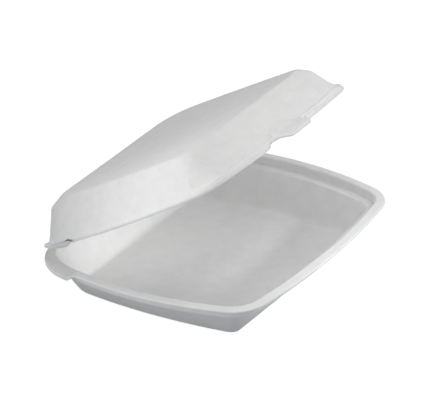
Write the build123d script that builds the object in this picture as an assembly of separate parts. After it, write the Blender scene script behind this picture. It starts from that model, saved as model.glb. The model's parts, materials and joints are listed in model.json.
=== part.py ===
from build123d import *
import os

# Foam clamshell container: a tray and a lid thermoformed from one sheet of foam.
# Millimetres, +Z up. The origin is the centre of the tray's resting face,
# X runs along the hinge, +Y points to the hinge and -Y to the front tab.

# Sheet of foam
foam_thickness = 2.2
wall_draw = 0.4            # extra level thickness where a wall leans

# Overall size, measured to the rim's sharp corners
rim_half_width = 105.0
rim_depth = 184.5          # from the crease to the front corners
tray_height = 32.2

# Outline of the rim
side_bow = 17.5
front_bow = 9.0
front_corner_radius = 29.0
hinge_corner_radius = 43.0

# Section of the tray's rim
lip_width = 8.2
lip_edge_chamfer = 0.7
ledge_width = 6.4
ledge_drop = 6.9

# Hinge side
hinge_flange_width = 6.2   # from the crease to the mouth of the tray
hinge_drop = 5.9           # from the lip down to the hinge flange
ear_setback = 41.75        # from the crease to where the lip begins to run down to that flange
ear_length = 9.0
crease_half_length = 84.0
crease_chamfer = 1.3
crease_gap = 0.2           # between the two flanges when the box is shut

# Bottom of the tray, and how far each wall runs inward to it from the rim's outline
base_side_run = 18.0
base_front_run = 21.5
base_back_run = 22.5
base_side_bow = 5.8
base_front_bow = 0.6
base_corner_radius = 7.0
base_edge_chamfer = 1.8
floor_edge_radius = 5.0

# Rim of the lid, drawn shut
nest_gap = 0.7             # between the lid's rim and the tray's lip
rim_clearance = 3.9        # between the lid's rim and the tray's ledge
rim_height = 5.6
step_width = 1.3
step_drop = 2.5
shelf_width = 2.6          # from the rim's outer face to the foot of the walls

# Walls and top of the lid, and how far each runs inward from the outline below it
wall_rise = 17.2
wall_side_run = 17.0
wall_front_run = 23.3
wall_back_run = 14.0
bevel_side_bow = 2.8
bevel_corner_radius = 7.0
bevel_rise = 5.8
bevel_side_run = 4.2
bevel_front_run = 5.1
bevel_back_run = 10.1
top_side_bow = 3.0
top_corner_radius = 6.0
panel_front_bow = 0.4
facet_foot_length = 13.0   # of the flat across each front corner, along the wall's foot
facet_top_length = 6.4     # and along the bevel
lid_open_angle = 30.0

# Thumb tab
tab_tip_half_width = 15.0
tab_root_half_width = 25.0
tab_reach = 7.5            # past the tray's lip
tab_tip_drop = 4.6
tab_rise = 1.2             # of the tab's underside over the tray's lip
tab_root_rise = 0.5        # of the tab over the inner edge of the lip
tab_wall_depth = 10.6      # how far the thumb recess reaches into the lid's front wall
tab_wall_height = 6.5      # how far it climbs that wall
tab_arch_depth = 8.6       # of the arch that the recess cuts into the wall, seen from above
tab_corner_radius = 5.0

# Levels and lines that follow from the sizes above
base_half_width = rim_half_width - base_side_run
base_half_depth = (rim_depth - base_front_run - base_back_run) / 2
rim_front = base_half_depth + base_front_run
hinge_line = base_half_depth + base_back_run
ear_start = hinge_line - ear_setback
hinge_height = tray_height - hinge_drop
ledge_height = tray_height - ledge_drop
rim_bottom = ledge_height + rim_clearance
shelf_height = rim_bottom + rim_height
bevel_height = shelf_height + wall_rise
top_height = bevel_height + bevel_rise

slab = 400.0               # wider than the box in every direction


def bow_radius(chord, bow):
    """Radius of the arc that stands bow out of a straight edge."""
    return (chord * chord / 4 + bow * bow) / (2 * bow)


def bowed_plan(half_width, front, back, bow_side, bow_front, inset=0.0, back_inset=None):
    """A plan with bowed sides and front and a straight hinge side, taken inward by inset."""
    back_inset = inset if back_inset is None else back_inset
    side_radius = bow_radius(front + back, bow_side)
    front_radius = bow_radius(2 * half_width, bow_front)
    middle = (back - front) / 2
    side_centre = half_width + bow_side - side_radius
    left = Pos(-side_centre, middle) * Circle(side_radius - inset)
    right = Pos(side_centre, middle) * Circle(side_radius - inset)
    near = Pos(0, front_radius - front - bow_front) * Circle(front_radius - inset)
    behind = Pos(0, back - back_inset - slab / 2) * Rectangle(slab, slab)
    return left & right & near & behind


def rounded(plan, front_radius, back_radius):
    """Round the two front corners and the two hinge corners of a plan."""
    corners = plan.vertices().sort_by(Axis.Y)
    plan = fillet(corners[:2], front_radius)
    return rounded_behind(plan, back_radius)


def rounded_behind(plan, back_radius):
    """Round the two hinge corners of a plan."""
    corners = plan.vertices().sort_by(Axis.Y)
    return fillet(corners[-2:], back_radius)


def faceted(plan, facet_length, back_radius):
    """Cut the two front corners of a plan straight across, and round the two hinge corners."""
    corners = plan.vertices().sort_by(Axis.Y)
    return rounded_behind(chamfer(corners[:2], facet_length), back_radius)


def rim_outline(inset, back_inset):
    """The rim's outline with sharp corners, taken inward on three sides and from the crease."""
    return bowed_plan(rim_half_width, rim_front, hinge_line, side_bow, front_bow, inset, back_inset)


def rim_plan(inset, back_inset):
    """Plan of the rim, taken inward on three sides and from the crease."""
    plan = rim_outline(inset, back_inset)
    return rounded(plan, front_corner_radius - inset, hinge_corner_radius - inset)


def foot_plan(inset):
    """Plan of the foot of the lid's walls, inside the shelf, with a flat at each front corner."""
    rim_inset = lip_width + nest_gap + shelf_width + inset
    plan = rim_outline(rim_inset, hinge_flange_width + shelf_width + inset)
    return faceted(plan, facet_foot_length, hinge_corner_radius - rim_inset)


def base_plan(inset):
    """Plan of the tray's bottom."""
    plan = bowed_plan(base_half_width, base_half_depth, base_half_depth, base_side_bow, base_front_bow, inset)
    return rounded(plan, base_corner_radius, base_corner_radius)


def bevel_plan(inset):
    """Plan of the lid where its walls meet the bevel."""
    plan = bowed_plan(
        rim_half_width - wall_side_run, rim_front - wall_front_run, hinge_line - wall_back_run,
        bevel_side_bow, panel_front_bow, inset,
    )
    return faceted(plan, facet_top_length, bevel_corner_radius)


def top_plan(inset):
    """Plan of the lid's top panel."""
    plan = bowed_plan(
        rim_half_width - wall_side_run - bevel_side_run,
        rim_front - wall_front_run - bevel_front_run,
        hinge_line - wall_back_run - bevel_back_run,
        top_side_bow, panel_front_bow, inset,
    )
    return faceted(plan, facet_top_length, top_corner_radius)


def prism(plan, bottom, top):
    """A plan raised from one height to another."""
    return Pos(0, 0, bottom) * extrude(plan, top - bottom)


def drawn(lower_plan, bottom, upper_plan, top):
    """A solid whose sides run straight from one plan to another."""
    return loft([Pos(0, 0, bottom) * lower_plan, Pos(0, 0, top) * upper_plan], ruled=True)


def along_x(points, half_length):
    """A section given by (y, z) points, carried along X both ways from the middle."""
    section = make_face(Polyline([(0, y, z) for y, z in points], close=True))
    return extrude(section, half_length, dir=(1, 0, 0), both=True)


def flange_line(height_front, height_back):
    """Top line of the flange in the YZ plane: level, a short ramp at the ears, level."""
    return [
        (-slab / 2, height_front),
        (ear_start, height_front),
        (ear_start + ear_length, height_back),
        (slab / 2, height_back),
    ]


def under(line, depth):
    """The region below a line, down to a depth, across the whole box."""
    return along_x(line + [(slab / 2, -depth), (-slab / 2, -depth)], slab / 2)


def eased(flange):
    """Ease the trimmed edge of the lip on the three sides where it stands high."""
    outer = [
        edge for edge in flange.edges().filter_by(GeomType.CIRCLE)
        if edge.center().Z > hinge_height + foam_thickness and edge.center().Y < ear_start
    ]
    return chamfer(outer, lip_edge_chamfer)


def make_tray():
    """Floor, leaning walls, the ledge, and a lip that runs down to the hinge flange."""
    t = foam_thickness
    wall = t + wall_draw
    outline = prism(rim_plan(0, 0), 0, tray_height)
    top_line = flange_line(tray_height, hinge_height)
    below_top = under(top_line, slab)
    below_flange = under([(y, z - t) for y, z in top_line], slab)
    flange = eased((outline & below_top) - below_flange)
    step_plan = rim_plan(lip_width - t, hinge_flange_width - t)
    step = prism(step_plan, ledge_height - t, tray_height) & below_top
    mouth_inset = lip_width + ledge_width
    body = drawn(
        base_plan(0), 0,
        rim_plan(mouth_inset - wall, hinge_flange_width - wall), ledge_height,
    )
    body = chamfer(body.edges().group_by(Axis.Z)[0], base_edge_chamfer)
    recess = prism(rim_plan(lip_width, hinge_flange_width), ledge_height, tray_height + t)
    cavity = drawn(base_plan(wall), t, rim_plan(mouth_inset, hinge_flange_width), ledge_height)
    cavity = fillet(cavity.edges().group_by(Axis.Z)[0], floor_edge_radius)
    tray = flange + step + body - recess - cavity
    return tray - crease_cut(-1)


def crease_cut(side):
    """The pressed groove on the outer face of the crease, under or over the flange."""
    outer = hinge_height + side * foam_thickness
    return along_x(
        [
            (hinge_line - crease_chamfer, outer),
            (hinge_line, outer - side * crease_chamfer),
            (hinge_line + crease_chamfer, outer - side * crease_chamfer),
            (hinge_line + crease_chamfer, outer + side * crease_chamfer),
            (hinge_line - crease_chamfer, outer + side * crease_chamfer),
        ],
        slab / 2,
    )


def tab_line():
    """Top of the thumb tab in the YZ plane, from the lid's wall over the lip to the tip."""
    t = foam_thickness
    lip_front = rim_front + front_bow
    lip_inner = lip_front - lip_width
    over_lip = tray_height + tab_rise + t
    return [
        (-lip_inner + shelf_width + tab_wall_depth, over_lip + tab_wall_height),
        (-lip_inner, over_lip + tab_root_rise),
        (-lip_front + 2 * t, over_lip),
        (-lip_front - t / 2, over_lip - t / 2),
        (-lip_front - tab_reach, over_lip - tab_tip_drop),
    ]


def tab_plan():
    """Plan of the tab and of the arched thumb recess behind it."""
    lip_front = rim_front + front_bow
    tip = lip_front + tab_reach
    root = lip_front - lip_width
    arch = root - shelf_width - tab_arch_depth
    outline = Polyline(
        (-tab_root_half_width, -root), (-tab_tip_half_width, -tip),
        (tab_tip_half_width, -tip), (tab_root_half_width, -root),
    ) + ThreePointArc((tab_root_half_width, -root), (0, -arch), (-tab_root_half_width, -root))
    plan = make_face(outline)
    tips = plan.vertices().group_by(Axis.Y)[0]
    return fillet(tips, tab_corner_radius)


def make_tab():
    """The tab as a bent strip of the same sheet."""
    line = tab_line()
    strip = along_x(line + [(y, z - foam_thickness) for y, z in reversed(line)], slab / 2)
    return strip & prism(tab_plan(), 0, 2 * top_height)


def rim_line():
    """Lower edge of the lid's rim in the YZ plane, which runs down to the flange at the ears."""
    flange_bottom = hinge_height + crease_gap
    return [
        (-slab / 2, rim_bottom), (ear_start, rim_bottom),
        (ear_start + ear_length, flange_bottom), (slab / 2, flange_bottom),
    ]


def rim_ring(depth, bottom, top):
    """The rim and its step taken inward by a depth, from one height to the top of the step."""
    inset = lip_width + nest_gap + depth
    back_inset = hinge_flange_width + depth
    lower = prism(rim_plan(inset, back_inset), bottom, top - step_drop)
    upper = prism(rim_plan(inset + step_width, back_inset + step_width), bottom, top)
    return lower + upper


def hinge_flange():
    """The lid's flange, from the rim to the crease."""
    depth = hinge_corner_radius
    plan = Rectangle(2 * crease_half_length, depth)
    bottom = hinge_height + crease_gap
    return Pos(0, hinge_line - depth / 2, 0) * prism(plan, bottom, hinge_height + foam_thickness)


def make_lid():
    """Stepped rim, shelf, leaning walls, bevel and top panel, with the hinge flange and the tab."""
    t = foam_thickness
    wall = t + wall_draw
    rim = rim_ring(0, 0, shelf_height) - under(rim_line(), slab)
    walls = drawn(foot_plan(0), shelf_height - t, bevel_plan(0), bevel_height)
    bevel = drawn(bevel_plan(0), bevel_height, top_plan(0), top_height)
    mouth = rim_ring(t, 0, shelf_height - t)
    hollow = drawn(foot_plan(wall), shelf_height - t, bevel_plan(wall), bevel_height - t / 2)
    crown = drawn(bevel_plan(wall), bevel_height - t / 2, top_plan(t), top_height - t)
    lid = rim + walls + bevel + hinge_flange() - mouth - hollow - crown
    lid = lid - prism(tab_plan(), 0, 2 * top_height) + make_tab()
    return opened(lid - crease_cut(1))


def opened(solid):
    """Turn the lid about the crease from shut to the angle at which it rests."""
    crease = Pos(0, hinge_line, hinge_height)
    return crease * Rot(-lid_open_angle, 0, 0) * crease.inverse() * solid


os.makedirs("parts", exist_ok=True)
export_step(make_tray(), "parts/tray.step")
export_step(make_lid(), "parts/lid.step")
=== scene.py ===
import json
import math
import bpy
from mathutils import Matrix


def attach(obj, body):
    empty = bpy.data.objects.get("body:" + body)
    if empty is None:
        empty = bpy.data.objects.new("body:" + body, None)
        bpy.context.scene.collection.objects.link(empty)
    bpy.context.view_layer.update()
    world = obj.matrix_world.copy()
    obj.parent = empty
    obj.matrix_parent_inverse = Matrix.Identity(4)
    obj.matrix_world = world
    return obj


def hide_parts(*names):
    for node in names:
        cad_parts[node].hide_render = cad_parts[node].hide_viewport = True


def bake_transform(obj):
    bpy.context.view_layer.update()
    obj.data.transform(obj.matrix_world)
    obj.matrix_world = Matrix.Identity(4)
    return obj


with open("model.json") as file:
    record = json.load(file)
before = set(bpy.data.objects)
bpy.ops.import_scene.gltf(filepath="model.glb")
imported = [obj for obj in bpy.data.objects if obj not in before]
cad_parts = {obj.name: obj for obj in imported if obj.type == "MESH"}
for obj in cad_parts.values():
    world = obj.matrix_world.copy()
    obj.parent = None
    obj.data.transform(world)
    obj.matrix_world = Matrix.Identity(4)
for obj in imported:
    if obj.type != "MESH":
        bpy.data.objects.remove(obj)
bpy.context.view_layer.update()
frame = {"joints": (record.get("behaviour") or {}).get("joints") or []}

from types import SimpleNamespace

import bpy
import numpy as np
from mathutils import Matrix, Vector

bl_info = {
    "name": "Foam meal box",
    "version": (1, 0, 0),
    "blender": (4, 5, 0),
    "location": "3D View > Sidebar > Foam box",
    "description": "Hinged meal box thermoformed from one sheet of white foam",
    "category": "Object",
}

MM = 0.001                  # metres in a millimetre
# Points along each stretch of an outline's right half, from the middle of the front.
FRONT_POINTS = 96
CORNER_POINTS = 25
SIDE_POINTS = 56
HINGE_CORNER_POINTS = 29
HINGE_POINTS = 30
FACET_POINTS = (FRONT_POINTS - 3, FRONT_POINTS + CORNER_POINTS - 1)   # where a facet starts and ends
MID_ROWS = (0.03, 0.15, 0.5, 0.85, 0.97)   # where extra rows cross each flat of a section
PANEL_ROWS = (0.06, 0.7)    # how far out the two inner rows of a flat panel lie
# The lid's step fades into a slope this far behind the front corners, and this far from the middle
# of the front, both in millimetres.
STEP_FADE_BACK = (8, 40)
STEP_FADE_OUT = (78, 100)
EAR_ENDS = (0.72, 0.92)     # shares of the half width between which the flange's ends curl up
WHITE = (1.0, 1.0, 1.0, 1.0)
HINGE = frame["joints"][0]
CREASE_Y = HINGE["pos_m"][1] / MM
CREASE_Z = HINGE["pos_m"][2] / MM

# Where nodes of the lid's section lie on the thumb tab: the node, its share of the way to the tip,
# whether it is on the underside, and how far inside the tab's root, in millimetres, it begins to fall.
TAB_NODES = (
    (5, 0.05, 0, 13.0), (6, 0.3, 0, 13.0), (7, 0.55, 0, 13.0), (8, 0.8, 0, 8.0), (9, 1.0, 0, 5.5),
    (10, 0.98, 1, 4.0), (11, 0.68, 1, 4.0), (12, 0.34, 1, 13.0), (13, 0.03, 1, 13.0),
)

# Soft lamps that face the box: name, width in metres, azimuth and elevation in degrees.
LAMPS = (
    ("key", 0.6, -12, 38),
    ("right", 0.9, 65, 34),
    ("high", 0.9, 20, 78),
    ("left", 0.9, -110, 12),
)
LAMP_DISTANCE = 1.3         # metres
# Soft spots: name, width of the pool in metres, azimuth, elevation, and the lit place in millimetres.
SPOTS = (
    ("mouth", 0.25, 12, 24, (20, 6, 8)),
    ("corner", 0.21, -135, 10, (-92, -34, 110)),
    ("hinge", 0.14, 0, 14, (-45, 88, 20)),
)
SPOT_DISTANCE = 1.0         # metres
SPOT_SOFTNESS = 0.06        # radius of a spot's source, in metres
CAMERA_TARGET = (84.36, 50.11, 0)   # the place in the middle of the picture, in millimetres
SENSOR = 36.0               # width of the camera's sensor, in millimetres
FLOOR_HALF = 8.0            # half the width of the studio floor, in metres


def length(name, description, millimetres):
    """A size that the sidebar shows as a distance."""
    return bpy.props.FloatProperty(
        name=name, description=description, default=millimetres * MM, min=0.0,
        subtype="DISTANCE", precision=4,
    )


def angle(name, description, degrees):
    """An angle that the sidebar shows in degrees."""
    return bpy.props.FloatProperty(
        name=name, description=description, default=math.radians(degrees), subtype="ANGLE",
    )


def number(name, description, value):
    """A plain factor or count."""
    return bpy.props.FloatProperty(name=name, description=description, default=value)


def linear(hex_colour):
    """A linear colour from an sRGB hex value such as F0F1F2."""
    srgb = np.array([int(hex_colour[i:i + 2], 16) / 255 for i in (0, 2, 4)])
    return tuple(np.where(srgb <= 0.04045, srgb / 12.92, ((srgb + 0.055) / 1.055) ** 2.4))


def colour(name, description, hex_colour):
    """A colour that is written as an sRGB hex value."""
    return bpy.props.FloatVectorProperty(
        name=name, description=description, default=linear(hex_colour), size=3,
        subtype="COLOR", min=0.0, max=1.0,
    )


class FoamSheetSizes(bpy.types.PropertyGroup):
    """The sheet and the outline that tray and lid share."""
    thickness: length("Thickness", "Thickness of the foam sheet", 2.2)
    wall: length("Wall", "Level thickness of a leaning wall", 2.6)
    half_width: length("Half width", "Half the width of the rim at its corners", 105.0)
    front: length("Front", "From the middle of the base to the front corners", 91.75)
    side_bow: length("Side bow", "How far the rim bows out at each side", 17.5)
    front_bow: length("Front bow", "How far the rim bows out at the front", 9.0)
    front_radius: length("Front corners", "Radius of the rim's front corners", 29.0)
    hinge_radius: length("Hinge corners", "Radius of the rim's hinge corners", 43.0)
    edge: length("Edge", "Rounding of the trimmed edge of the sheet", 1.0)
    inside: length("Inside", "How far the drawn edge stays inside the true one", 0.05)
    crease: length("Crease", "Width of the groove pressed along the crease", 1.3)


class TraySizes(bpy.types.PropertyGroup):
    """The tray."""
    height: length("Height", "Height of the lip above the table", 32.2)
    lip: length("Lip", "Width of the lip", 8.2)
    droop: length("Droop", "How far the lip falls from its inner to its outer edge", 0.6)
    ledge: length("Ledge", "Width of the ledge inside the lip", 6.4)
    ledge_drop: length("Ledge drop", "How far the ledge lies below the lip", 6.9)
    step_lean: length("Step lean", "How far the step up to the lip leans out", 0.4)
    flange: length("Flange", "From the crease to the mouth of the tray", 6.2)
    ear_start: length("Ear start", "Where the lip begins to run down to the flange", 46.0)
    ear_length: length("Ear length", "Length of that run", 9.0)
    base_half_width: length("Base half width", "Half the width of the bottom", 87.0)
    base_half_depth: length("Base half depth", "Half the depth of the bottom", 70.25)
    base_bow: length("Base bow", "How far the bottom bows out at each side", 5.8)
    base_front_bow: length("Base front bow", "How far it bows out at the front", 0.6)
    base_radius: length("Base corners", "Radius of the bottom's front corners", 7.0)
    base_back_radius: length("Base back corners", "Radius of the bottom's hinge corners", 20.0)


class LidSizes(bpy.types.PropertyGroup):
    """The lid, drawn shut."""
    gap: length("Gap", "Between the lid's rim and the tray's lip", 0.7)
    rim_bottom: length("Rim bottom", "Lower edge of the rim above the table", 29.2)
    rim_height: length("Rim height", "Height of the rim", 5.6)
    shelf: length("Shelf", "Width of the shelf between rim and wall", 2.6)
    step: length("Step", "From the rim's outside to the edge of the step below the shelf", 1.3)
    step_drop: length("Step drop", "How far that step falls", 2.4)
    step_fade: length("Step fade", "How much softer the shelf meets the wall at the sides", 4.5)
    bevel_half_width: length("Bevel half width", "Half the width where the walls meet the bevel", 88.4)
    bevel_front: length("Bevel front", "From the middle to the bevel's front corners", 69.8)
    bevel_back: length("Bevel back", "From the middle to the bevel's hinge side", 78.75)
    bevel_bow: length("Bevel bow", "How far the bevel bows out at each side", 2.8)
    bevel_height: length("Bevel height", "Height of the bevel's lower line", 52.4)
    top_half_width: length("Top half width", "Half the width of the top panel", 83.8)
    top_front: length("Top front", "From the middle to the panel's front corners", 63.35)
    top_back: length("Top back", "From the middle to the panel's hinge side", 68.65)
    top_bow: length("Top bow", "How far the panel bows out at each side", 3.0)
    top_height: length("Top height", "Height of the top panel, shut", 57.8)
    panel_front_bow: length("Panel front bow", "How far bevel and panel bow out at the front", 0.4)
    corner_radius: length("Corners", "Radius of the panel's front corners", 7.0)
    back_radius: length("Back corners", "Radius of the panel's hinge corners", 24.0)
    ear_radius: length("Ear radius", "Rounding of the hinge flange's ends", 31.0)
    ear_lift: length("Ear lift", "How far those ends curl up", 2.8)
    flange_gap: length("Flange gap", "From the crease up to the hinge flange", 0.2)
    open_angle: angle("Open angle", "How far the lid stands open at rest", 30.0)
    facet: number("Facet", "How flat the wall is drawn across the front corners", 0.85)


class TabSizes(bpy.types.PropertyGroup):
    """The thumb tab."""
    tip: length("Tip", "Half the width of the tab's straight tip", 12.0)
    root: length("Root", "Half the width at the tab's root", 25.5)
    reach: length("Reach", "How far the tab stands past the tray's lip", 4.5)
    arch: length("Arch", "Half the width of the arch in the wall", 15.5)
    rise: length("Rise", "Of the tab's underside over the tray's lip", 1.0)
    soft: length("Soft", "Softness of the bend where the tab leaves the recess", 1.5)
    fall: number("Fall", "How fast the tab's top falls, per millimetre", 0.0205)
    climb: number("Climb", "Slope of the recess behind the tab", 0.51)
    climb_share: number("Climb share", "How far up the wall the recess reaches", 0.36)


class CreaseSizes(bpy.types.PropertyGroup):
    """The crease."""
    radius: length("Radius", "Half the thickness of the pressed web", 0.95)
    half_length: length("Half length", "Half the length of the crease", 82.0)
    set_in: length("Set in", "How far the web lies in front of the hinge axis", 0.3)
    wrap: angle("Wrap", "How far the web wraps past level at each end", 100.0)
    grip: angle("Grip", "Where the bending part of the web ends", 90.0)


class FoamFinish(bpy.types.PropertyGroup):
    """Colours and grain of the foam."""
    skin: colour("Skin", "Colour of the smooth skin of the foam", "F3F3F2")
    shade: colour("Shade", "Colour of its denser patches", "EAEAEA")
    cell: length("Cell", "Width of the cells that show through the skin", 1.5)
    patch: length("Patch", "Width of the denser patches", 9.0)
    relief: length("Relief", "Height of the cells", 0.06)
    depth: length("Depth", "How far light spreads inside the foam", 1.6)


class StudioSettings(bpy.types.PropertyGroup):
    """Camera and lamps."""
    azimuth: angle("Azimuth", "Direction of the camera, from the front", -58.49)
    elevation: angle("Elevation", "Height of the camera above level", 27.23)
    roll: angle("Roll", "Turn of the camera about its own axis", -0.88)
    distance: length("Distance", "From the camera to its target", 2987.2)
    lens: number("Lens", "Focal length in millimetres on a 36 mm sensor", 327.08)
    key_power: number("Key", "Strength of the lamp in front", 1.2)
    right_power: number("Right", "Strength of the lamp on the right", 1.8)
    high_power: number("High", "Strength of the lamp almost overhead", 4.6)
    left_power: number("Left", "Strength of the low lamp on the camera's left", 3.8)
    mouth_power: number("Mouth", "Strength of the spot on the tray's floor", 14.0)
    corner_power: number("Corner", "Strength of the spot on the lid's near front corner", 17.0)
    hinge_power: number("Hinge", "Strength of the spot on the tray's hinge wall", 16.0)
    world_power: number("World", "Strength of the even light from all round", 0.30)
    glow: number("Glow", "What the floor adds for the camera, up to white", 0.87)
    floor: colour("Floor", "Colour of the floor", "B0B3BA")


def bow_circle(chord, bow):
    """Radius of an arc over a chord: (chord squared / 4 + bow squared) / (2 bow)."""
    return (chord * chord / 4 + bow * bow) / (2 * bow)


def arc(centre, radius, a):
    """Points on a circle: centre + radius (cos a, sin a), for an array of angles a."""
    return np.stack([centre[0] + radius * np.cos(a), centre[1] + radius * np.sin(a)], 1)


def heading(origin, point):
    """Direction from one point to another, in radians."""
    return math.atan2(point[1] - origin[1], point[0] - origin[0])


def circles_meet(c1, r1, c2, r2):
    """The meeting point of two circles that lies to the right of the line from c1 to c2.

    It stands a = (r1^2 - r2^2 + d^2) / 2d along that line and sqrt(r1^2 - a^2) beside it.
    """
    c1, c2 = np.array(c1), np.array(c2)
    gap = c2 - c1
    d = np.hypot(*gap)
    along = (r1 * r1 - r2 * r2 + d * d) / (2 * d)
    beside = math.sqrt(r1 * r1 - along * along)
    unit = gap / d
    return c1 + along * unit + beside * np.array([unit[1], -unit[0]])


def plan_loop(
    half_width, front, back, side_bow, front_bow, radii, inset=0.0, back_inset=None, facet=None,
):
    """A closed outline, anticlockwise from the middle of the front, as rows of x and y.

    The right half is an arc across the front, a corner arc tangent to it, an arc down the side,
    a corner arc, and half of the straight hinge side. The left half is its mirror image. Taking
    the outline inward takes the inset off each radius and keeps each centre. A facet, given as its
    first and last point and its flatness, draws the front corner towards its chord.
    """
    back_inset = inset if back_inset is None else back_inset
    side_full = bow_circle(front + back, side_bow)
    front_full = bow_circle(2 * half_width, front_bow)
    side_centre = (half_width + side_bow - side_full, (back - front) / 2)
    front_centre = (0.0, front_full - front - front_bow)
    side_r, front_r = side_full - inset, front_full - inset
    near_r, far_r = radii[0], radii[1]
    near = circles_meet(side_centre, side_r - near_r, front_centre, front_r - near_r)
    if near[0] < 0:
        near = circles_meet(front_centre, front_r - near_r, side_centre, side_r - near_r)
    level = back - back_inset
    far_y = level - far_r
    rise = far_y - side_centre[1]
    far = (side_centre[0] + math.sqrt((side_r - far_r) ** 2 - rise ** 2), far_y)
    front_end = heading(front_centre, near)
    side_start = heading(side_centre, near)
    side_end = heading(side_centre, far)
    crowded = np.linspace(0, 1, FRONT_POINTS) ** 1.35   # closer together where the tab is
    across = -math.pi / 2 + crowded * (front_end + math.pi / 2)
    even = np.linspace(0, 1, SIDE_POINTS)
    crowded = 0.35 * even + 0.65 * (1 - np.cos(math.pi * even)) / 2   # closer together at both ends
    along = side_start + crowded * (side_end - side_start)
    parts = [
        arc(front_centre, front_r, across)[:-1],
        arc(near, near_r, np.linspace(front_end, side_start, CORNER_POINTS))[:-1],
        arc(side_centre, side_r, along)[:-1],
        arc(far, far_r, np.linspace(side_end, math.pi / 2, HINGE_CORNER_POINTS))[:-1],
        np.stack([np.linspace(far[0], 0, HINGE_POINTS), np.full(HINGE_POINTS, level)], 1),
    ]
    right = np.concatenate(parts)
    if facet:
        first, last, flatness = facet
        share = np.linspace(0, 1, last - first + 1)[:, None]
        chord = right[first] + (right[last] - right[first]) * share
        right[first:last + 1] += (chord - right[first:last + 1]) * flatness
    left = right[-2:0:-1] * (-1, 1)
    return np.concatenate([right, left])


def smooth(values, start, end):
    """0 before start, 1 after end, and 3t^2 - 2t^3 between them."""
    t = np.clip((values - start) / (end - start), 0, 1)
    return t * t * (3 - 2 * t)


def raised(outline, height):
    """An outline at a height, which may differ from point to point."""
    return np.column_stack([outline, np.broadcast_to(height, len(outline))])


def panel_rows(outline):
    """A flat panel's outline and two rows inside it, from the middle out: share (x, y), same z."""
    return [*(outline * (share, share, 1) for share in PANEL_ROWS), outline]


def section_rows(nodes, reach, steps=6):
    """Rows of a section whose corners are rounded.

    Each inner node P becomes a curve (1-s)^2 A + 2s(1-s) P + s^2 B, where A and B lie the node's
    reach before and after it, and never past 0.45 of the way to its neighbour. The flats between
    the curves get rows close to their ends, which keep them flat to the eye.
    """
    rows = [nodes[0]]
    last = nodes[0]
    s = np.linspace(0, 1, steps + 1)[:, None, None]
    for before, node, after, far in zip(nodes, nodes[1:], nodes[2:], reach):
        ends = []
        for other in (before, after):
            way = other - node
            span = np.linalg.norm(way, axis=1, keepdims=True) + 1e-9
            ends.append(node + way * np.minimum(far / span, 0.45))
        flat = [last + (ends[0] - last) * f for f in MID_ROWS]
        curve = (1 - s) ** 2 * ends[0] + 2 * s * (1 - s) * node + s ** 2 * ends[1]
        rows += flat + list(curve)
        last = ends[1]
    rows += [last + (nodes[-1] - last) * f for f in MID_ROWS]
    return np.array(rows)


def shell_mesh(name, rows, top, bottom, pressed):
    """A closed mesh from rows of points that start round one pole and end round the other.

    Point i of row k joins point i + 1 and row k + 1, and the poles close the first and last rows.
    """
    count = rows.shape[1]
    points = np.concatenate([rows.reshape(-1, 3), [top, bottom]]) * MM
    k = np.arange(rows.shape[0] - 1)[:, None] * count
    i = np.arange(count)[None, :]
    j = (i + 1) % count
    quads = np.stack([k + i, k + count + i, k + count + j, k + j], 2).reshape(-1, 4)
    first, final = rows.shape[0] * count, rows.shape[0] * count + 1
    end = (rows.shape[0] - 1) * count
    i, j = i[0], j[0]
    top_fan = np.stack([np.full(count, first), i, j], 1)
    bottom_fan = np.stack([end + i, np.full(count, final), end + j], 1)
    mesh = bpy.data.meshes.new(name)
    mesh.from_pydata(points, [], quads.tolist() + top_fan.tolist() + bottom_fan.tolist())
    mesh.polygons.foreach_set("use_smooth", np.ones(len(mesh.polygons), bool))
    values = np.concatenate([np.repeat(pressed, count), [0.0, 0.0]])
    mesh.attributes.new("pressed", "FLOAT", "POINT").data.foreach_set("value", values)
    mesh.update()
    return mesh


def place(mesh, body, node, material):
    """Shows a mesh as a piece that rides on a body and stands for its CAD node."""
    piece = bpy.data.objects.new(mesh.name, mesh)
    bpy.context.scene.collection.objects.link(piece)
    mesh.materials.append(material)
    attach(piece, body)
    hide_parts(node)
    return piece


def millimetres(group):
    """The values of a group under their own names, with distances in millimetres."""
    values = {}
    for key in group.__annotations__:
        value = getattr(group, key)
        prop = group.bl_rna.properties[key]
        values[key] = value / MM if prop.subtype == "DISTANCE" else value
    return SimpleNamespace(**values)


def rim_loop(sheet, inset, back_inset, hinge_radius=None, facet=None):
    """The shared rim outline, taken inward on three sides and from the crease."""
    radii = (sheet.front_radius - inset, hinge_radius or sheet.hinge_radius - inset)
    return plan_loop(
        sheet.half_width, sheet.front, CREASE_Y, sheet.side_bow, sheet.front_bow,
        radii, inset, back_inset, facet,
    )


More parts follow.
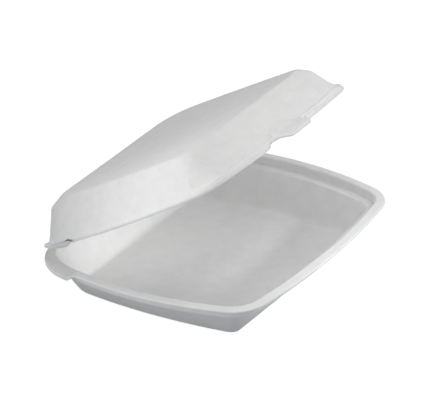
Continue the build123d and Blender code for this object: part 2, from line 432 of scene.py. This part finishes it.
def tray_rows(sheet, tray):
    """The tray's section, from the floor out over the lip and back under to the resting face.

    Heights along the lip and its underside fall from the lip's height to the hinge flange's where
    y passes the ears. Besides the nodes it gives each inner node's rounding in millimetres, and how
    hard the tool presses the foam at each node, from 0 to 1.
    """
    t = sheet.thickness
    mouth = tray.lip + tray.ledge
    ledge = tray.height - tray.ledge_drop

    def base(inset):
        return plan_loop(
            tray.base_half_width, tray.base_half_depth, tray.base_half_depth,
            tray.base_bow, tray.base_front_bow, (tray.base_radius, tray.base_back_radius), inset,
        )

    def fall(outline, high):
        ear = smooth(outline[:, 1], tray.ear_start, tray.ear_start + tray.ear_length)
        return raised(outline, high + (CREASE_Z - high) * ear)

    floor = raised(base(sheet.wall), t)
    under = raised(base(0.0), 0.0)
    drop = (0, 0, t)
    edge = rim_loop(sheet, sheet.inside, sheet.inside)
    outer_height = tray.height - tray.droop
    wall_top = raised(rim_loop(sheet, mouth - sheet.wall, tray.flange - sheet.wall), ledge)
    wall_end = under + (wall_top - under) * (ledge - t) / ledge
    # On the hinge side the rows share out the width of the flange, which has no ledge or step.
    nodes = [
        *panel_rows(floor),
        fall(rim_loop(sheet, mouth, tray.flange), ledge),
        fall(rim_loop(sheet, tray.lip, 0.84 * tray.flange), ledge),
        fall(rim_loop(sheet, tray.lip - tray.step_lean, 0.66 * tray.flange), tray.height),
        fall(edge, outer_height),
        fall(edge, outer_height) - drop,
        fall(rim_loop(sheet, tray.lip - t, 0.28 * tray.flange), tray.height) - drop,
        fall(rim_loop(sheet, tray.lip - t, 0.36 * tray.flange), ledge) - drop,
        wall_end,
        *reversed(panel_rows(under)),
    ]
    reach = [4.0, 3.6, 1.2, 1.6, 1.6, sheet.edge, sheet.edge, 0.9, 1.0, 1.6, 3.5, 4.0]
    press = [0, 0, 0.2, 0.5, 0.8, 1, 1, 1, 1, 1, 0.6, 0.3, 0, 0]
    return nodes, reach, press


def lid_rows(sheet, tray, lid, tab):
    """The lid's section, from the top panel out to the rim's edge and back up inside, drawn shut.

    At the front the shelf ends in a sharp step down to the rim, which fades into a slope round the
    corners and sides: row = step + (slope - step) side, with side from 0 to 1. It gives the same
    three lists as the tray's section.
    """
    t = sheet.thickness
    inset = tray.lip + lid.gap
    shelf = lid.rim_bottom + lid.rim_height
    flange = CREASE_Z + lid.flange_gap

    def panel(half_width, front, back, bow, taken, radius):
        return plan_loop(
            half_width, front, back, bow, lid.panel_front_bow, (radius, lid.back_radius), taken,
        )

    def bevel(taken):
        return panel(
            lid.bevel_half_width, lid.bevel_front, lid.bevel_back, lid.bevel_bow, taken,
            lid.corner_radius,
        )

    def top(taken):
        return panel(
            lid.top_half_width, lid.top_front, lid.top_back, lid.top_bow, taken,
            1.3 * lid.corner_radius,
        )

    def rim(taken, back_taken, high, low=None, ear=None, facet=None):
        outline = rim_loop(sheet, taken, back_taken, ear, facet)
        low = high if low is None else low
        ramp = smooth(outline[:, 1], tray.ear_start, tray.ear_start + tray.ear_length)
        return raised(outline, high + (low - high) * ramp)

    back = tray.flange
    foot = inset + lid.shelf
    corner = (*FACET_POINTS, lid.facet)
    step_foot = shelf - lid.step_drop
    step_out = rim(inset + lid.step, back + lid.step, shelf)
    step_down = rim(inset + lid.step - 0.2, back + lid.step - 0.1, step_foot)
    slope_out = rim(inset + lid.step + 0.2, back + lid.step + 0.3, shelf - 1.0)
    slope_down = rim(inset + lid.step - 0.6, back + lid.step - 0.3, step_foot)
    side = np.maximum(
        smooth(step_out[:, 1:2] + sheet.front, *STEP_FADE_BACK),
        smooth(np.abs(step_out[:, :1]), *STEP_FADE_OUT),
    )
    step_out = step_out + (slope_out - step_out) * side
    step_down = step_down + (slope_down - step_down) * side
    outer = rim(inset, back, step_foot - 0.2) - (0, 0, 1.2) * side
    crown = raised(top(0), lid.top_height)
    ceiling = raised(top(t), lid.top_height - t)
    nodes = [
        *panel_rows(crown),
        raised(bevel(0), lid.bevel_height),
        rim(foot, back + lid.shelf, shelf, facet=corner),
        step_out, step_down,
        outer,
        rim(inset, back - 0.2, lid.rim_bottom + 1.5, flange + t),
        rim(inset, sheet.crease, lid.rim_bottom + 0.8, flange + t, lid.ear_radius),
        rim(inset, 0.0, lid.rim_bottom, flange, lid.ear_radius),
        rim(inset + t, back + t, lid.rim_bottom, flange),
        rim(inset + t, back + t, lid.rim_bottom + 1.5, flange + 1.0),
        rim(inset + t, back + t, shelf - t),
        rim(foot + sheet.wall, back + lid.shelf + sheet.wall, shelf - t, facet=corner),
        raised(bevel(sheet.wall), lid.bevel_height - t / 2),
        *reversed(panel_rows(ceiling)),
    ]
    reach = [
        4.0, 1.8, 1.4, 1.3 + lid.step_fade * side, 1.0, 1.0, 1.0, 0.9, sheet.edge, sheet.edge,
        0.8, 0.8, 0.8, 1.5, 2.0, 2.0, 4.0,
    ]
    for index in (8, 9, 10):    # the edge of the rim, which is the hinge flange's edge at the back
        ends = smooth(np.abs(nodes[index][:, 0]) / sheet.half_width, *EAR_ENDS)
        nodes[index][:, 2] += lid.ear_lift * ends * (nodes[index][:, 1] > tray.ear_start)
    press = [0, 0, 0, 0, 0.4, 0.8, 0.9, 1, 1, 1, 1, 1, 1, 1, 0.7, 0.2, 0, 0, 0]
    pull_tab(nodes, sheet, tray, lid, tab)
    return nodes, reach, press


def pull_tab(nodes, sheet, tray, lid, tab):
    """Draws the front of the rim out into the thumb tab and an arched recess in the wall.

    Out past the inner edge of the tray's lip the top of the tab falls as the square of the
    distance s, and before it the recess climbs the wall: z = base - fall s^2 + climb (h - s) / 2,
    where h is sqrt(s^2 + soft^2). The underside lies one thickness lower. In the middle of the
    front a node's y goes to its place along the tab, and its z to that curve, which lets go of it
    between root - narrow and root + 2 - 0.15 narrow from the middle. The wall's foot rises over the
    recess as (1 - (x / arch)^2)^0.6 of its share of the wall.
    """
    t = sheet.thickness
    lip_front = sheet.front + sheet.front_bow
    root = -(lip_front - tray.lip)
    tip = -(lip_front + tab.reach)
    over_lip = tray.height + tab.rise + t

    def tab_top(y):
        s = root - y
        h = np.sqrt(s * s + tab.soft ** 2)
        return over_lip - tab.fall * np.maximum(s, 0) ** 2 + tab.climb * (h - s) / 2

    for index, along, below, narrow in TAB_NODES:
        node = nodes[index]
        x = np.abs(node[:, 0])
        front = node[:, 1] < 0
        out = (1 - smooth(x, tab.tip, tab.root)) * front
        lift = (1 - smooth(x, tab.root - narrow, tab.root + 2 - 0.15 * narrow)) * front
        middle = node[0, 1]
        node[:, 1] += out * (root + along * (tip - root) - middle)
        node[:, 2] += lift * (tab_top(node[:, 1]) - below * t - node[:, 2])
    rise = lid.bevel_height - lid.rim_bottom - lid.rim_height
    run = lip_front - tray.lip - lid.gap - lid.shelf - (lid.bevel_front + lid.panel_front_bow)
    for index in (4, 14):   # the wall's foot, outside and inside
        node = nodes[index]
        arch = np.clip(1 - (node[:, 0] / tab.arch) ** 2, 0, 1) ** 0.6 * (node[:, 1] < 0)
        node[:, 1] += arch * run * tab.climb_share
        node[:, 2] += arch * rise * tab.climb_share


def opened(points, turn):
    """Points turned about the crease by an angle in radians that lifts the front."""
    a = -turn
    y, z = points[..., 1] - CREASE_Y, points[..., 2] - CREASE_Z
    return np.stack([
        points[..., 0],
        CREASE_Y + y * math.cos(a) - z * math.sin(a),
        CREASE_Z + y * math.sin(a) + z * math.cos(a),
    ], -1)


def add_node(tree, kind, inputs=(), **settings):
    """Adds a node with its settings. Each input is a socket's name or number and its value or link."""
    node = tree.nodes.new(kind)
    for name, value in settings.items():
        setattr(node, name, value)
    for socket, value in inputs:
        if isinstance(value, bpy.types.NodeSocket):
            tree.links.new(value, node.inputs[socket])
        else:
            node.inputs[socket].default_value = value
    return node


def foam_material(finish):
    """Expanded polystyrene foam sheet, thermoformed.

    To the eye it is a soft, matt white. Light spreads a little way inside it, which fills its
    shadows, and faint denser patches and small cells show through the skin. Where the tool presses
    hardest, at the rims and the crease, the skin is smoother.
    """
    found = bpy.data.materials.get("expanded_polystyrene_foam_sheet")
    if found:
        return found
    material = bpy.data.materials.new("expanded_polystyrene_foam_sheet")
    material.use_nodes = True
    tree = material.node_tree
    tree.nodes.clear()
    place_on = add_node(tree, "ShaderNodeTexCoord").outputs["Object"]
    pressed = add_node(tree, "ShaderNodeAttribute", attribute_name="pressed").outputs["Fac"]
    patches = add_node(tree, "ShaderNodeTexNoise", [
        ("Vector", place_on), ("Scale", 1 / finish.patch), ("Detail", 3.0), ("Roughness", 0.6),
    ]).outputs["Fac"]
    # Real cells are a few tenths of a millimetre wide. They are drawn coarser than that, to show.
    cells = add_node(tree, "ShaderNodeTexVoronoi", [
        ("Vector", place_on), ("Scale", 1 / finish.cell), ("Randomness", 1.0),
    ], feature="SMOOTH_F1").outputs["Distance"]
    grain = add_node(tree, "ShaderNodeTexNoise", [
        ("Vector", place_on), ("Scale", 0.6 / finish.cell), ("Detail", 2.0),
    ]).outputs["Fac"]
    tone = add_node(tree, "ShaderNodeMapRange", [
        ("Value", patches), ("From Min", 0.35), ("From Max", 0.65),
    ]).outputs["Result"]
    speck = add_node(tree, "ShaderNodeMath", [(0, tone), (1, grain)], operation="MULTIPLY").outputs[0]
    base = add_node(tree, "ShaderNodeMix", [
        (0, speck), (6, (*finish.skin, 1)), (7, (*finish.shade, 1)),
    ], data_type="RGBA").outputs[2]
    rough = add_node(tree, "ShaderNodeMapRange", [
        ("Value", pressed), ("To Min", 0.62), ("To Max", 0.48),
    ]).outputs["Result"]
    soft = add_node(tree, "ShaderNodeMapRange", [
        ("Value", pressed), ("To Min", 1.0), ("To Max", 0.35),
    ]).outputs["Result"]
    height = add_node(tree, "ShaderNodeMath", [(0, cells), (1, grain)], operation="ADD").outputs[0]
    bump = add_node(tree, "ShaderNodeBump", [
        ("Height", height), ("Strength", soft), ("Distance", finish.relief),
    ]).outputs["Normal"]
    skin = add_node(tree, "ShaderNodeBsdfPrincipled", [
        ("Base Color", base), ("Roughness", rough), ("Normal", bump),
        ("IOR", 1.5), ("Specular IOR Level", 0.35), ("Subsurface Weight", 0.9),
        ("Subsurface Radius", (1.0, 1.0, 1.0)), ("Subsurface Scale", finish.depth),
    ])
    add_node(tree, "ShaderNodeOutputMaterial", [("Surface", skin.outputs[0])])
    return material


class OBJECT_OT_foam_tray(bpy.types.Operator):
    """Makes the tray as one closed foam shell"""
    bl_idname = "object.foam_tray"
    bl_label = "Foam tray"

    def execute(self, context):
        """Rows of the tray's section, closed at the middle of the floor and of the resting face."""
        scene = context.scene
        sheet, tray = millimetres(scene.foam_sheet), millimetres(scene.foam_tray)
        nodes, reach, press = tray_rows(sheet, tray)
        rows = section_rows(nodes, reach)
        pressed = spread(press, rows)
        mesh = shell_mesh("foam_tray", rows, (0, 0, sheet.thickness), (0, 0, 0), pressed)
        place(mesh, "tray", "tray", foam_material(scene.foam_finish))
        return {"FINISHED"}


class OBJECT_OT_foam_crease(bpy.types.Operator):
    """Makes the pressed crease that joins tray and lid"""
    bl_idname = "object.foam_crease"
    bl_label = "Foam crease"

    def execute(self, context):
        """A web about the hinge axis: radius (cos a, sin a), with a from the tray's side to the lid's.

        Its back is a flat drawn in towards the axis. Its ends shrink as
        sqrt(1 - (x / half length)^40), to no less than 0.3 of the radius.
        """
        scene = context.scene
        lid, crease = millimetres(scene.foam_lid), millimetres(scene.foam_crease)
        half = crease.half_length
        a = np.linspace(-crease.wrap, crease.wrap - lid.open_angle, 24)
        ring = np.stack([np.cos(a), np.sin(a)], 1) * crease.radius
        back = np.linspace(ring[-1], ring[0], 8)[1:-1] * 0.6
        middle = np.array([CREASE_Y - crease.set_in, CREASE_Z])
        ring = np.concatenate([ring, back]) + middle
        x = np.array([-half, -half + 0.4, *np.linspace(-half + 1, half - 1, 60), half - 0.4, half])
        swell = np.sqrt(np.clip(1 - (np.abs(x) / half) ** 40, 0.0, 1))[:, None, None]
        rings = middle + (ring[None] - middle) * np.maximum(swell, 0.3)
        rows = np.concatenate([np.broadcast_to(x[:, None, None], (len(x), len(ring), 1)), rings], 2)
        mesh = shell_mesh(
            "foam_crease", rows, (-half, *middle), (half, *middle), np.ones(len(rows)),
        )
        piece = bpy.data.objects.new(mesh.name, mesh)
        scene.collection.objects.link(piece)
        mesh.materials.append(foam_material(scene.foam_finish))
        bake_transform(piece)
        return {"FINISHED"}


class OBJECT_OT_foam_lid(bpy.types.Operator):
    """Makes the lid with its thumb tab as one closed foam shell"""
    bl_idname = "object.foam_lid"
    bl_label = "Foam lid"

    def execute(self, context):
        """Rows of the lid's section, drawn shut and then turned about the crease."""
        scene = context.scene
        sheet, tray = millimetres(scene.foam_sheet), millimetres(scene.foam_tray)
        lid, tab = millimetres(scene.foam_lid), millimetres(scene.foam_tab)
        nodes, reach, press = lid_rows(sheet, tray, lid, tab)
        rows = section_rows(nodes, reach)
        pressed = spread(press, rows)
        crown = opened(np.array([0.0, 0.0, lid.top_height]), lid.open_angle)
        ceiling = opened(np.array([0.0, 0.0, lid.top_height - sheet.thickness]), lid.open_angle)
        mesh = shell_mesh("foam_lid", opened(rows, lid.open_angle), crown, ceiling, pressed)
        place(mesh, "lid", "lid", foam_material(scene.foam_finish))
        return {"FINISHED"}


def spread(press, rows):
    """One value for each row, drawn evenly between the values of the section's nodes."""
    return np.interp(np.linspace(0, len(press) - 1, len(rows)), np.arange(len(press)), press)


def towards(azimuth, elevation):
    """The direction from the box: azimuth 0 is its front, and 90 the right as seen from there."""
    level = math.cos(elevation)
    return Vector((math.sin(azimuth) * level, -math.cos(azimuth) * level, math.sin(elevation)))


def set_lamp(lamp, way, place_at):
    """Puts a lamp at a place, turned to shine back along the way that it was set out."""
    item = bpy.data.objects.new(lamp.name, lamp)
    item.matrix_world = Matrix.Translation(place_at) @ way.to_track_quat("Z", "Y").to_matrix().to_4x4()
    bpy.context.scene.collection.objects.link(item)


def area_lamp(name, power, size, azimuth, elevation):
    """A soft square lamp that stands in a direction from the box and faces it."""
    way = towards(math.radians(azimuth), math.radians(elevation))
    lamp = bpy.data.lights.new(name, "AREA")
    lamp.energy, lamp.size, lamp.shape = power, size, "SQUARE"
    set_lamp(lamp, way, way * LAMP_DISTANCE)


def spot_lamp(name, power, width, azimuth, elevation, aim):
    """A soft round spot that stands in a direction from the place it is aimed at."""
    way = towards(math.radians(azimuth), math.radians(elevation))
    lamp = bpy.data.lights.new(name, "SPOT")
    lamp.energy, lamp.shadow_soft_size, lamp.spot_blend = power, SPOT_SOFTNESS, 1.0
    lamp.spot_size = 2 * math.atan(width / 2 / SPOT_DISTANCE)
    set_lamp(lamp, way, Vector(aim) * MM + way * SPOT_DISTANCE)


def add_camera(studio):
    """The photo's view: right, up and back make the camera's axes."""
    r = studio.roll
    back = towards(studio.azimuth, studio.elevation)
    right = (-back).cross(Vector((0, 0, 1))).normalized()
    up = back.cross(right)
    turned_right = right * math.cos(r) + up * math.sin(r)
    turned_up = up * math.cos(r) - right * math.sin(r)
    target = Vector(CAMERA_TARGET) * MM
    data = bpy.data.cameras.new("photo_view")
    data.lens, data.sensor_width, data.sensor_fit = studio.lens, SENSOR, "HORIZONTAL"
    data.clip_start, data.clip_end = 0.1, 60.0   # metres
    item = bpy.data.objects.new("photo_view", data)
    turn = Matrix((turned_right, turned_up, back)).transposed().to_4x4()
    item.matrix_world = Matrix.Translation(target + back * studio.distance) @ turn
    bpy.context.scene.collection.objects.link(item)
    bpy.context.scene.camera = item


def floor_material(studio):
    """Matt pale studio floor. To the camera it glows up to white, and keeps the box's shadow."""
    material = bpy.data.materials.new("matt_studio_floor")
    material.use_nodes = True
    tree = material.node_tree
    tree.nodes.clear()
    path = add_node(tree, "ShaderNodeLightPath")
    seen = add_node(tree, "ShaderNodeMath", [
        (0, path.outputs["Is Camera Ray"]), (1, path.outputs["Is Glossy Ray"]),
    ], operation="MAXIMUM").outputs[0]
    strength = add_node(
        tree, "ShaderNodeMath", [(0, seen), (1, studio.glow)], operation="MULTIPLY",
    ).outputs[0]
    glow = add_node(tree, "ShaderNodeEmission", [("Color", WHITE), ("Strength", strength)])
    paint = add_node(tree, "ShaderNodeBsdfDiffuse", [("Color", (*studio.floor, 1))])
    both = add_node(tree, "ShaderNodeAddShader", [(0, glow.outputs[0]), (1, paint.outputs[0])])
    add_node(tree, "ShaderNodeOutputMaterial", [("Surface", both.outputs[0])])
    return material


class OBJECT_OT_foam_studio(bpy.types.Operator):
    """Makes the floor, the lamps and the camera"""
    bl_idname = "object.foam_studio"
    bl_label = "Studio"

    def execute(self, context):
        """A level floor, four soft lamps, three soft spots, an even world and the photo's view."""
        studio = context.scene.foam_studio
        half = FLOOR_HALF
        mesh = bpy.data.meshes.new("studio_floor")
        corners = [(-half, -half, 0), (half, -half, 0), (half, half, 0), (-half, half, 0)]
        mesh.from_pydata(corners, [], [(0, 1, 2, 3)])
        mesh.materials.append(floor_material(studio))
        floor = bpy.data.objects.new("studio_floor", mesh)
        context.scene.collection.objects.link(floor)
        for name, *placing in LAMPS:
            area_lamp(name, getattr(studio, f"{name}_power"), *placing)
        for name, *placing in SPOTS:
            spot_lamp(f"{name}_spot", getattr(studio, f"{name}_power"), *placing)
        world = bpy.data.worlds.new("even_light")
        world.use_nodes = True
        tree = world.node_tree
        tree.nodes.clear()
        path = add_node(tree, "ShaderNodeLightPath")
        strength = add_node(tree, "ShaderNodeMapRange", [
            ("Value", path.outputs["Is Camera Ray"]), ("To Min", studio.world_power), ("To Max", 1.0),
        ]).outputs["Result"]
        sky = add_node(tree, "ShaderNodeBackground", [("Color", WHITE), ("Strength", strength)])
        add_node(tree, "ShaderNodeOutputWorld", [("Surface", sky.outputs[0])])
        context.scene.world = world
        context.scene.view_settings.view_transform = "Standard"
        add_camera(studio)
        return {"FINISHED"}


class VIEW3D_PT_foam_box(bpy.types.Panel):
    """Lists the operators and the sizes of the box"""
    bl_label = "Foam meal box"
    bl_idname = "VIEW3D_PT_foam_box"
    bl_space_type = "VIEW_3D"
    bl_region_type = "UI"
    bl_category = "Foam box"

    def draw(self, context):
        """One button for each operator, then each group of values."""
        for operator in OPERATORS:
            self.layout.operator(operator.bl_idname)
        for name, group in GROUPS.items():
            box = self.layout.box()
            box.label(text=group.__doc__)
            for key in group.__annotations__:
                box.prop(getattr(context.scene, name), key)


GROUPS = {
    "foam_sheet": FoamSheetSizes,
    "foam_tray": TraySizes,
    "foam_lid": LidSizes,
    "foam_tab": TabSizes,
    "foam_crease": CreaseSizes,
    "foam_finish": FoamFinish,
    "foam_studio": StudioSettings,
}
OPERATORS = (
    OBJECT_OT_foam_studio, OBJECT_OT_foam_tray, OBJECT_OT_foam_lid, OBJECT_OT_foam_crease,
)


def register():
    """Registers the groups, the operators and the panel."""
    for name, group in GROUPS.items():
        bpy.utils.register_class(group)
        setattr(bpy.types.Scene, name, bpy.props.PointerProperty(type=group))
    for cls in (*OPERATORS, VIEW3D_PT_foam_box):
        bpy.utils.register_class(cls)


def unregister():
    """Takes them away again."""
    for cls in (VIEW3D_PT_foam_box, *reversed(OPERATORS)):
        bpy.utils.unregister_class(cls)
    for name, group in reversed(GROUPS.items()):
        delattr(bpy.types.Scene, name)
        bpy.utils.unregister_class(group)


def main():
    """Makes the stage and every piece."""
    register()
    bpy.ops.object.foam_studio()
    bpy.ops.object.foam_tray()
    bpy.ops.object.foam_lid()
    bpy.ops.object.foam_crease()


if __name__ == "__main__":
    main()
